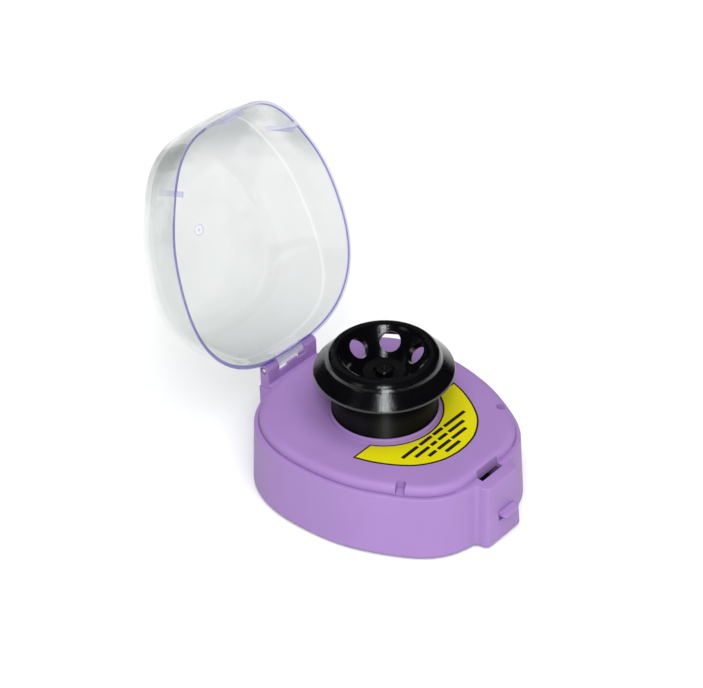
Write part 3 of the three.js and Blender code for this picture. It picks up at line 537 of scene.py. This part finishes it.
def make_housing():
    # one closed skin: inner ceiling, inner walls, lower edge, outer wall, ledge, groove, plateau, collar, well
    rings = [[(0, 0, 34.65)], plan_circle(12, 34.65), plan_circle(31, 34.65)]
    rings += [ring(-6.0, 34.65), ring(-WALL, 34.65), ring(-0.6, 3.0), ring(-0.39, 0.35), ring(-0.1, 0.06), ring(0.3, 0.0)]
    rings += [ring(1.45, 0.0), ring(1.78, 0.1), ring(1.94, 0.42), ring(DRAFT - 0.055, 1.0)]
    for z in (6, 12, 18, 24, 30, 34): rings.append(ring(DRAFT * (1 - z / 36.2) + 0.02, z))
    rings += [ring(0.05, 35.6), ring(0.0, 36.1), ring(-0.07, 36.42), ring(-0.22, 36.72), ring(-0.45, 36.93), ring(-0.72, 37.03), ring(-1.0, LEDGE)]
    rings += [ring(-2.15, LEDGE), ring(-2.3, 36.98), ring(-2.38, 36.8), ring(-2.4, 36.55), ring(-2.78, 36.55), ring(-2.8, 36.9)]
    for z, o in ((37.6, -2.82), (38.3, -2.88), (39.0, -2.97), (39.7, -3.1), (40.3, -3.3), (40.8, -3.56), (41.2, -3.86), (41.55, -4.24), (41.82, -4.68), (42.02, -5.2), (42.15, -5.8), (42.23, -6.5), (42.26, -7.2), (PLATEAU, -8.0)):
        rings.append(eased(o, z))
    A, B = eased(-8.0, PLATEAU), plan_circle(31.6, PLATEAU)
    for t in (0.25, 0.5, 0.75): rings.append([tuple(np.array(a) * (1 - t) + np.array(b) * t) for a, b in zip(A, B)])
    for r, z in ((31.6, PLATEAU), (30.45, PLATEAU), (30.12, 42.33), (29.95, 42.5), (29.88, 42.8), (29.78, 43.9), (29.68, 44.5), (29.5, 44.92), (29.25, 45.16), (28.95, 45.26), (28.7, 45.27), (28.45, 45.18), (28.28, 44.98), (28.2, 44.6), (28.2, 40), (28.2, 38.4), (28.1, 38.12), (27.8, 38.0), (16, 38.0), (7, 38.0)):
        rings.append(plan_circle(r, z))
    rings.append([(0, 0, 38.0)])
    body = skin("housing", rings, caps=False)

    block = skin("block", [block_ring(0, 0.0, 0.45), block_ring(0.003, 0.12, 0.15), block_ring(0.01, 0.42, 0.0)] + [block_ring(z / LEDGE, z) for z in (6, 12, 18, 24, 30, 34, 36.2)]
                 + [block_ring(0.99, 36.5, 0.05), block_ring(0.995, 36.78, 0.2), block_ring(1, 36.96, 0.45), block_ring(1, 37.04, 0.8)])
    low = bevel(box("low", -20.2, 58, 0.0, 20.2, 73.2, 34.0), 0.6, 4)
    fill = bevel(box("fill", -19.4, 58, 33.2, 19.4, 67.6, LEDGE + 0.01), 0.5, 3)
    wall = bevel(box("wall", -10.9, 66.4, 36.2, 10.9, 67.6, 41.9), 0.3, 3)
    tab = bevel(box("tab", -4.2, 66.4, 41.2, 4.2, 67.45, 43.5), 0.3, 3)
    ear_poly = [(66.4, 33.0), (66.4, 45.35)] + arc(68.9, 45.35, 2.5, 180, 90, 10)[1:] + arc(70.1, 45.35, 2.5, 90, 0, 10) + [(72.6, 33.0)]
    ears = [bevel(prism_x("ear", ear_poly, a, b), 0.28, 3, 40) for a, b in ((10.4, 19.4), (-19.4, -10.4))]
    body = add(body, block, low, fill, wall, tab, *ears)

    cuts = [
        box("c1", -9.6, -77.3, -1, 9.6, -60.2, 34.4),
        box("c2", -17.8, 55, -1, 17.8, 70.8, 31.6),
        box("slot", -8.2, -72.7, 30, 8.2, -68.3, 40),
        box("recess", -8.2, -71.8, LEDGE, 8.2, -68.3, 46),
        prism_x("window", [(-84, 12.1), (-76.4, 12.1), (-76.4, 18.45), (-84, 18.45)], -4.7, 7.3),
        rod("bore", (-21, HINGE_Y, HINGE_Z), (21, HINGE_Y, HINGE_Z), 1.6),
        rod("cb1", (-21, HINGE_Y, HINGE_Z), (-18.1, HINGE_Y, HINGE_Z), 2.05),
        rod("cb2", (18.1, HINGE_Y, HINGE_Z), (21, HINGE_Y, HINGE_Z), 2.05),
        rod("nose", (0, 0, 34), (0, 0, 39.5), 6.0),
    ]
    for side in (-1, 1):
        p = min(PLAN, key=lambda q: math.hypot(q[0] - side * 43.2, q[1] + 47.2))
        a = Vector((p[0] - p[2] * 6.2, p[1] - p[3] * 6.2)); n = Vector((p[2], p[3])); t = Vector((-n.y, n.x)); w = 2.5
        base = math.degrees(math.atan2(n.y, n.x))
        poly = [tuple(a + n * 6.7 + t * w)] + [tuple(a + t * w * math.cos(math.radians(g)) - n * w * math.sin(math.radians(g))) for g in range(0, 181, 12)] + [tuple(a + n * 6.7 - t * w)]
        cuts.append(prism_z("notch", [(x, y) for x, y in poly], LEDGE, 46))
    # openings and shallow recesses for the power inlet and the rocker in the side wall
    for (x, y), (nx, ny), z, tools in (
            ((41.8406, 55.6301), (0.56565, 0.82464), 13, [rod("port", (0, -6, 0), (0, 3, 0), 5.3), rod("port2", (0, 0.05, 0), (0, 4, 0), 6.9)]),
            ((60.1244, 26.8429), (0.97844, 0.20654), 17, [box("port3", -6.6, -6, -9.6, 6.6, 3, 9.6), box("port4", -7.9, 0.05, -10.9, 7.9, 4, 10.9)])):
        o = DRAFT * (1 - z / LEDGE)
        M = Matrix(((ny, nx, 0, x + nx * o), (-nx, ny, 0, y + ny * o), (0, 0, 1, z), (0, 0, 0, 1)))
        for tool in tools:
            tool.data.transform(M)
            cuts.append(tool)
    body = cut(body, *cuts)
    return body


housing = make_housing()
finish_piece(housing, "housing_shell", PURPLE, "housing", ["base_housing"], smooth=32)

# ---------------------------------------------------------------- label
HALF = smooth_poly([(41.1, -13.5), (38.7, -21.3), (35.2, -29.0), (30.6, -36.6), (25.6, -42.7), (19.3, -47.5), (12.0, -51.0), (4.0, -52.6), (0, -52.75)], 6)[:-1]


def label_poly(inset):
    R = 30.6 + inset
    out = HALF + [(0, -52.75)] + [(-x, y) for x, y in reversed(HALF)]
    if inset:
        q = []
        n = len(out)
        for i in range(n):
            a, b = Vector(out[max(0, i - 1)]), Vector(out[min(n - 1, i + 1)])
            d = (b - a).normalized()
            q.append((out[i][0] + d.y * inset, out[i][1] - d.x * inset))
        out = q
    top = -13.5 - inset
    out = [(x, min(y, top)) for x, y in out]
    a0 = 180 + math.degrees(math.asin(-top / R)); a1 = 360 - math.degrees(math.asin(-top / R))
    return out + arc(0, 0, R, a0, a1, 40)


border = finish_piece(prism_z("label_border", label_poly(0.0), PLATEAU + 0.05, PLATEAU + 0.2), "label_border", PRINT, "housing", ["label_plate"])
finish_piece(prism_z("label_film", label_poly(0.95), PLATEAU + 0.12, PLATEAU + 0.26), "label_film", LABEL, "housing", ["label_plate"])
# printed rows: plain bars in place of any lettering
rows = [(-33.6, [(-25.5, 12.5), (-11.5, 9.5), (-0.6, 7.5), (8.3, 17.0)]), (-38.3, [(-20.5, 11.0), (-8.0, 4.5), (-2.0, 7.0), (6.4, 12.6)]), (-43.0, [(-15.5, 6.0), (-8.0, 10.0), (3.4, 11.6)]), (-47.4, [(-7.0, 11.5)])]
verts, faces = [], []
for y, words in rows:
    for x, w in words:
        h, r = 1.05, 0.45
        pts = []
        for cx, cy, a in ((x + w - r, y + h - r, 0), (x + r, y + h - r, 90), (x + r, y - h + r, 180), (x + w - r, y - h + r, 270)):
            pts += [(cx + r * math.cos(math.radians(a + g)), cy + r * math.sin(math.radians(a + g))) for g in (0, 30, 60, 90)]
        s = len(verts); n = len(pts)
        verts += [(px, py, PLATEAU + 0.22) for px, py in pts] + [(px, py, PLATEAU + 0.29) for px, py in pts]
        faces += [tuple(s + i for i in reversed(range(n))), tuple(s + n + i for i in range(n))] + [(s + i, s + (i + 1) % n, s + n + (i + 1) % n, s + n + i) for i in range(n)]
finish_piece(link("label_bars", verts, faces), "label_bars", PRINT, "housing", ["label_plate"])


# ---------------------------------------------------------------- lid
def lid_ring(k, s, inner):
    out = []
    for x, y, nx, ny, ux, uy, cs, C in PLAN:
        h1 = max(5.0, 23.83 + 8.6 * C - 7.4 * C * C); t1 = 3.8 + 2.65 * C; a = 16.95 + 7.0 * C; top = 50.0
        if s <= 0: h, t = h1 * k, t1 * k
        else:
            g = s * math.pi / 2
            h = h1 + (top - h1) * math.sin(g) ** 1.667; t = t1 + a * (1 - math.cos(g) ** 1.667)
        if inner: h *= (top - 2.4) / top; t += 2.4
        d = t / max(0.8, cs)
        out.append((x - ux * d, y - uy * d, LEDGE + 0.3 + h))
    return out


def make_lid():
    z0 = LEDGE + 0.3
    wall_k = [0.06, 0.2, 0.4, 0.6, 0.8, 0.94]
    sh = [0.0001, 0.04, 0.08, 0.13, 0.18, 0.24, 0.3, 0.37, 0.44, 0.52, 0.6, 0.7, 0.8, 0.9, 1.0]
    mid_o = np.mean(lid_ring(1, 1, False), axis=0); mid_i = np.mean(lid_ring(1, 1, True), axis=0)

    def off(o, z): return [(p[0] + p[2] * o, p[1] + p[3] * o, z) for p in PLAN]
    rings = [[tuple(mid_i)]]
    top_i = lid_ring(1, 1, True)
    rings += [[tuple(mid_i + (np.array(p) - mid_i) * f) for p in top_i] for f in (0.33, 0.66)]
    rings += [lid_ring(1, s, True) for s in reversed(sh)] + [lid_ring(k, 0, True) for k in reversed(wall_k[1:])]
    rings += [off(-2.52, z0 + 1.5), off(-2.1, z0 + 0.8), off(-1.75, z0 + 0.2), off(-1.6, z0 + 0.05), off(-1.4, z0)]
    rings += [off(-0.35, z0), off(-0.12, z0 + 0.07), off(-0.02, z0 + 0.25)]
    rings += [lid_ring(k, 0, False) for k in wall_k] + [lid_ring(1, s, False) for s in sh]
    top_o = lid_ring(1, 1, False)
    rings += [[tuple(mid_o + (np.array(p) - mid_o) * f) for p in top_o] for f in (0.66, 0.33)] + [[tuple(mid_o)]]
    lid = skin("lid", rings, caps=False)

    parts = []
    for side in (-1, 1):
        p = min(PLAN, key=lambda q: math.hypot(q[0] - side * 43.2, q[1] + 47.2))
        n = Vector((p[2], p[3])); t = Vector((-n.y, n.x)); q = lambda d, w: tuple(Vector((p[0], p[1])) + n * d + t * w)
        rib = prism_z("rib", [q(-6.4, -1.5), q(-1.0, -1.5), q(-1.0, 1.5), q(-6.4, 1.5)], z0 + 0.02, z0 + 24)
        outer = skin("outer", [off(-0.9, z0 - 0.5)] + [[tuple(np.array(v) - 0.6 * np.array((PLAN[i][2], PLAN[i][3], 0))) for i, v in enumerate(lid_ring(k, 0, False))] for k in (0, 0.5, 1)] + [[tuple(np.array(v) - 0.6 * np.array((PLAN[i][2], PLAN[i][3], 0))) for i, v in enumerate(lid_ring(1, s, False))] for s in (0.1, 0.3, 0.6, 1.0)])
        parts.append(boolean(rib, outer, "INTERSECT"))
    hook = bevel(prism_x("hook", [(-70.0, 39.5), (-71.15, 39.5), (-71.15, 33.0), (-72.3, 32.8), (-72.3, 32.0), (-71.3, 30.6), (-70.0, 30.6)], -7.4, 7.4), 0.12, 2)
    parts.append(hook)
    lid = add(lid, *parts)
    # hinge knuckle with its plate
    arm = turned_x("barrel", [(-9.9, 0), (-9.9, 2.45), (-9.6, 2.75), (9.6, 2.75), (9.9, 2.45), (9.9, 0)], HINGE_Y, HINGE_Z)
    plate = cut(bevel(box("plate", -9.9, 63.9, HINGE_Z - 2.7, 9.9, HINGE_Y, 45.2), 0.3, 2), box("gap", -4.8, 65.2, 40, 4.8, 70.5, 44.0))
    arm = add(arm, plate)
    inner = skin("inner", [off(-2.3, 30.0)] + [lid_ring(k, 0, True) for k in (0, 0.3, 0.6, 1)] + [lid_ring(1, s, True) for s in (0.2, 0.5, 1.0)])
    arm = cut(arm, inner)
    lid = add(lid, arm)
    lid = cut(lid, rod("bore", (-11, HINGE_Y, HINGE_Z), (11, HINGE_Y, HINGE_Z), 1.6))
    gate = turned("gate", [(0, z0 + 48.9), (3.4, z0 + 48.9), (3.25, z0 + 50.1), (3.0, z0 + 50.55), (2.5, z0 + 50.7), (1.1, z0 + 50.66), (0.8, z0 + 50.2), (0, z0 + 50.1)], 48, 0, -2)
    return add(lid, gate)


lid = make_lid()


def lid_zone(c):
    """Which look a face of the closed lid has: 0 wall and dome, 1 rim, 2 rim's inner edge with a painted dark line, 3
    thick details, 4 painted highlight on the shoulder line and the gate's crown, 5 shoulder band with painted light and
    shade, 6 hinge knuckle.
    """
    z0 = LEDGE + 0.3
    if c.y > 62.5 and abs(c.x) < 10.2 and abs(c.z - HINGE_Z) < 3.0: return 6
    if -72.5 < c.y < -69.9 and abs(c.x) < 7.6 and c.z < 39.65: return 3
    for side in (-1, 1):
        q = min(PLAN, key=lambda a: math.hypot(a[0] - side * 43.2, a[1] + 47.2))
        d = (c.x - q[0]) * q[2] + (c.y - q[1]) * q[3]
        w = -(c.x - q[0]) * q[3] + (c.y - q[1]) * q[2]
        if -6.6 < d < -0.9 and abs(w) < 1.56 and z0 < c.z < z0 + 24.1 and (abs(w) > 1.4 or d < -5.5 or c.z < z0 + 1 or c.z > z0 + 23.5): return 3
    # the gate's crown takes the painted highlight
    if c.z > z0 + 50.02: return 4 if c.z > z0 + 50.66 else 3
    i = int(round((math.atan2(c.x, -(c.y - OUTLINE_Y)) + math.pi) / (2 * math.pi) * N)) % N
    x, y, nx, ny, ux, uy, cs, C = PLAN[i]
    inset = (math.hypot(x, y - OUTLINE_Y) - math.hypot(c.x, c.y - OUTLINE_Y)) * cs
    h = c.z - z0
    # the rim's inner edge and the left rim's flat take the painted dark line
    if h < 1.6: return 2 if 1.42 < inset < 2.15 or (c.x < -14 and 0.3 < inset < 1.42 and h < 0.06) else 1
    h1, t1, a = max(5.0, 23.83 + 8.6 * C - 7.4 * C * C), 3.8 + 2.65 * C, 16.95 + 7.0 * C
    near = []
    for inner in (0, 1):
        hh = h * 50.0 / 47.6 if inner else h
        if hh <= h1: s, t = 0.0, t1 * hh / h1
        else:
            s = math.asin(min(1.0, (hh - h1) / (50.0 - h1)) ** 0.6) / (math.pi / 2)
            t = t1 + a * (1 - math.cos(s * math.pi / 2) ** 1.667)
        near.append((abs(inset - t - 2.4 * inner), s, inner))
    _, s, inner = min(near)
    # painted highlight: a thin band along the inner shoulder
    if inner and 0.05 < s < 0.125: return 4
    # the shoulder band takes its copy with painted light and shade
    if 0.0 < s < 0.72: return 5
    return 0


zones = [lid_zone(p.center) for p in lid.data.polygons]
lid = finish_piece(lid, "lid_shell", CLEAR, "lid_cover", ["lid"], smooth=38, opened=True)
for m in (RIM, RIM_LINE, FEATURE, PAINTED_HIGHLIGHT, SHOULDER, KNUCKLE): lid.data.materials.append(m)
lid.data.polygons.foreach_set("material_index", zones)
lid.data.update()

# ---------------------------------------------------------------- rotor
prof = [(1.75, 49.0), (7.0, 49.0), (7.0, 62.6), (12.6, 64.4), (14.0, 66.0), (25.2, 76.9), (27.4, 77.4), (28.6, 75.6), (33.0, 69.8), (33.7, 66.9), (34.2, 66.5), (34.8, 66.6),
        (36.7, 68.1), (37.4, 68.8), (36.96, 70.06), (30.55, 76.1), (29.75, 78.2), (28.9, 79.5), (27.6, 80.5), (26.0, 80.95), (24.6, 80.9), (23.6, 80.3), (22.9, 79.2),
        (11.34, 67.85), (5.92, 67.85), (5.92, 66.6), (1.75, 66.6)]
rad = [0, .3, 1.0, 1.0, .5, 1.0, .6, .5, 1.2, .3, .25, .3, .5, .4, .35, 2.5, 2.0, 1.5, 1.5, 1.5, 1.0, .8, .7, .6, .12, .1, .1]
rotor = turned("rotor", rounded(prof, rad, True, 6), 240)


def tube_axis(i, t):
    a = math.pi / 2 + i * math.pi / 3
    r = 17.73 + t * math.sqrt(0.5)
    return (r * math.cos(a), r * math.sin(a), 73.9 - t * math.sqrt(0.5))


for i in range(6): rotor = cut(rotor, rod("hole", tube_axis(i, -7), tube_axis(i, 7), 5.6, 96))
finish_piece(rotor, "rotor_body", ROTOR, "rotor_assembly", ["rotor"], smooth=30)

sk = [(7.3, 58.6), (7.3, 61.6), (13.5, 61.6), (19.5, 60.6), (23.6, 58.2), (26.2, 55.9), (27.1, 54.2), (27.75, 46.0), (27.75, 40.6), (25.9, 40.6), (25.5, 53.0), (22.4, 56.0), (18.8, 58.0), (13.4, 58.6)]
finish_piece(turned("skirt", rounded(sk, [0, .3, 3, 5, 5, 1.6, 1.2, 3, .3, .3, 1.2, 2, 2, 1], True, 6), 240), "rotor_skirt_shell", ROTOR_SKIRT, "rotor_assembly", ["rotor_skirt"], smooth=30)
cap = rounded([(0, 66.9), (4.7, 66.9), (4.7, 69.85), (1.25, 69.85), (0.7, 68.9), (0, 68.9)], [0, .2, .55, .2, .15, 0], False, 5)
finish_piece(turned("cap", cap, 96), "rotor_cap", ROTOR, "rotor_assembly", ["rotor_lock_cap"], smooth=30)

# ---------------------------------------------------------------- hinge pin, latch lever, spring
pin = rounded([(-19.0, 0), (-19.0, 1.3), (19.0, 1.3), (19.0, 0)], [0, .25, .25, 0], False, 4)
finish_piece(turned_x("pin", pin, HINGE_Y, HINGE_Z), "hinge_rod", STEEL, "housing", ["hinge_pin"])

lever_poly = [(-85.6, 15.7), (-85.6, 18.0), (-77.4, 18.0), (-76.6, 19.4), (-75.6, 22.0), (-75.3, 24.5), (-75.3, 33.6), (-74.6, 34.4), (-73.4, 34.4),
              (-71.9, 33.9), (-71.7, 33.35), (-73.7, 33.3), (-73.9, 24.2), (-71.6, 23.8), (-70.6, 22.6), (-70.4, 21.2), (-71.0, 19.6), (-72.6, 17.2), (-72.6, 15.7)]
lever = prism_x("lever", rounded(lever_poly, [.5, .5, .5, 1, 1, 1, .5, .5, .4, .3, .2, .4, .8, .8, .8, .8, .8, .8, .3], True, 4), -4.3, 6.9)
for x, s in ((-4.3, -1), (6.9, 1)):
    c = [(x + s, -87), (x - s * 2.6, -87), (x - s * 2.6, -85.61)] + [(x - s * 2.2 + s * 2.2 * math.sin(math.radians(g)), -83.4 - 2.2 * math.cos(math.radians(g))) for g in range(0, 91, 10)] + [(x + s, -83.4)]
    lever = cut(lever, prism_z("corner", c, 14, 19))
lever = cut(lever, rod("bore", (-6, -73.0, 21.5), (9, -73.0, 21.5), 1.3))
finish_piece(lever, "latch_tab", PURPLE, "latch", ["latch_lever"], smooth=30)

turns, r, wire = 7, 1.75, 0.32
pts, steps, sides = [], 7 * 28, 10
rings = []
for i in range(steps + 1):
    t = i / steps
    a = 2 * math.pi * turns * t
    lead = min(1.0, min(t, 1 - t) * 8)
    c = Vector((1.3 + r * math.cos(a), -74.9 + r * math.sin(a), 3.35 + 11.65 * t))
    radial = Vector((math.cos(a), math.sin(a), 0)); up = Vector((0, 0, 1))
    rings.append([tuple(c + radial * (wire * math.cos(2 * math.pi * k / sides)) + up * (wire * math.sin(2 * math.pi * k / sides))) for k in range(sides)])
finish_piece(skin("coil", rings), "latch_coil", SPRING, "housing", ["latch_spring"])

# ---------------------------------------------------------------- carried-over CAD nodes
LOOK = {"bottom_cover": PURPLE_COVER, "latch_pivot_pin": STEEL, "switch_body": BLACK, "switch_leaf": SPRING, "switch_plunger": CREAM, "motor_can": CAN, "motor_end_cap": BLACK,
        "motor_terminal_left": BRASS, "motor_terminal_right": BRASS, "motor_bushing": BRASS, "motor_magnet": MAGNET, "motor_armature": LAMINATED, "motor_isolator": RUBBER,
        "motor_screw_left": ZINC, "motor_screw_right": ZINC, "motor_shaft": STEEL, "circuit_board": BOARD, "board_screw_left": ZINC, "board_screw_right": ZINC,
        "board_capacitor": SLEEVE, "board_connector": CREAM, "power_inlet": BLACK, "rocker_bezel": BLACK, "rocker_button": BLACK_KEY}
for where in ("front_left", "front_right", "rear_left", "rear_right"):
    LOOK["foot_" + where] = RUBBER
    LOOK["cover_screw_" + where] = ZINC
for name, mat in LOOK.items():
    o = frame["nodes"][name]
    if o.data.materials: o.data.materials[0] = mat
    else: o.data.materials.append(mat)
    m = o.modifiers.new("edges", "BEVEL")
    m.width, m.segments, m.limit_method, m.angle_limit = 0.00015, 2, "ANGLE", math.radians(40)

# ---------------------------------------------------------------- floor, light, camera
floor = link("floor", [(-4, -4, 0), (4, -4, 0), (4, 4, 0), (-4, 4, 0)], [(0, 1, 2, 3)])
fm, nt, bsdf, out = material("floor_white")
bsdf.inputs["Base Color"].default_value = (0.95, 0.95, 0.95, 1)
bsdf.inputs["Roughness"].default_value = 0.9
bsdf.inputs["Specular IOR Level"].default_value = 0.1
floor.data.materials.append(fm)

world = bpy.data.worlds.new("studio")
scene.world = world
world.use_nodes = True
bg = world.node_tree.nodes["Background"]
bg.inputs[0].default_value = (1.0, 1.0, 1.0, 1)
bg.inputs[1].default_value = 0.16
world.cycles_visibility.glossy = False


def area(name, loc, target, size, power, size_y=None, colour=(1, 1, 1)):
    d = bpy.data.lights.new(name, "AREA")
    d.color = colour
    d.energy, d.size = power, size
    if size_y: d.shape, d.size_y = "RECTANGLE", size_y
    o = bpy.data.objects.new(name, d)
    o.location = loc
    o.rotation_mode = "QUATERNION"
    o.rotation_quaternion = (Vector(target) - Vector(loc)).to_track_quat("-Z", "Y")
    scene.collection.objects.link(o)
    return o


sun = bpy.data.lights.new("overhead", "SUN")
sun.energy, sun.angle = 2.85, math.radians(60)
so = bpy.data.objects.new("overhead", sun)
so.rotation_mode = "QUATERNION"
so.rotation_quaternion = Vector((0.25, 0.35, -1.0)).to_track_quat("-Z", "Y")
scene.collection.objects.link(so)
so.visible_glossy = False

# camera: the photograph's viewpoint
AZ, EL, ROLL, DIST, F = math.radians(-47.567), math.radians(36.612), math.radians(-1.760), 1169.313, 2195.948
U0, V0, W, H = 385.355, 427.211, 703, 688
back = np.array([math.sin(AZ) * math.cos(EL), -math.cos(AZ) * math.cos(EL), math.sin(EL)])
right = np.array([math.cos(AZ), math.sin(AZ), 0.0])
up = np.cross(back, right)
cr, sr = math.cos(ROLL), math.sin(ROLL)
R = np.stack([cr * right + sr * up, -sr * right + cr * up, back])
du, dv = (U0 - W / 2) / F, (V0 - H / 2) / F
C = np.array([0, 0, 30.0]) - np.array([du * DIST, -dv * DIST, -DIST]) @ R
cam = bpy.data.cameras.new("camera")
cam.sensor_width, cam.lens, cam.clip_start, cam.clip_end = 36, F * 36 / W, 0.05, 50
co = bpy.data.objects.new("camera", cam)
co.matrix_world = Matrix.Translation(at(*C)) @ Matrix([[R[0][i], R[1][i], R[2][i]] for i in range(3)]).to_4x4()
scene.collection.objects.link(co)
scene.camera = co

centre = at(0, -5, 50)
eye = Vector(at(*C))
side = Vector(R[0]); upv = Vector(R[1])
def toward(azimuth, elevation, distance):
    a, e = math.radians(azimuth), math.radians(elevation)
    return centre + distance * Vector((math.sin(a) * math.cos(e), -math.cos(a) * math.cos(e), math.sin(e)))


area("front_strip", toward(-49, 43, 1.25), centre, 0.10, 4.3, 0.75, (0.93, 0.97, 1.0))
area("front_low", toward(-46, 7, 1.25), centre, 0.10, 2.2, 0.2, (0.93, 0.97, 1.0))
area("small_flash", toward(-50, 45, 1.3), centre, 0.05, 0.7, 0.05, (0.93, 0.97, 1.0))
area("left_window", toward(-100, 25, 1.2), centre, 0.16, 0.3, 0.7)
area("rear_card", toward(135, 55, 1.2), centre, 0.9, 0.2, 0.9)

scene.view_settings.view_transform = "Standard"
scene.view_settings.look = "None"
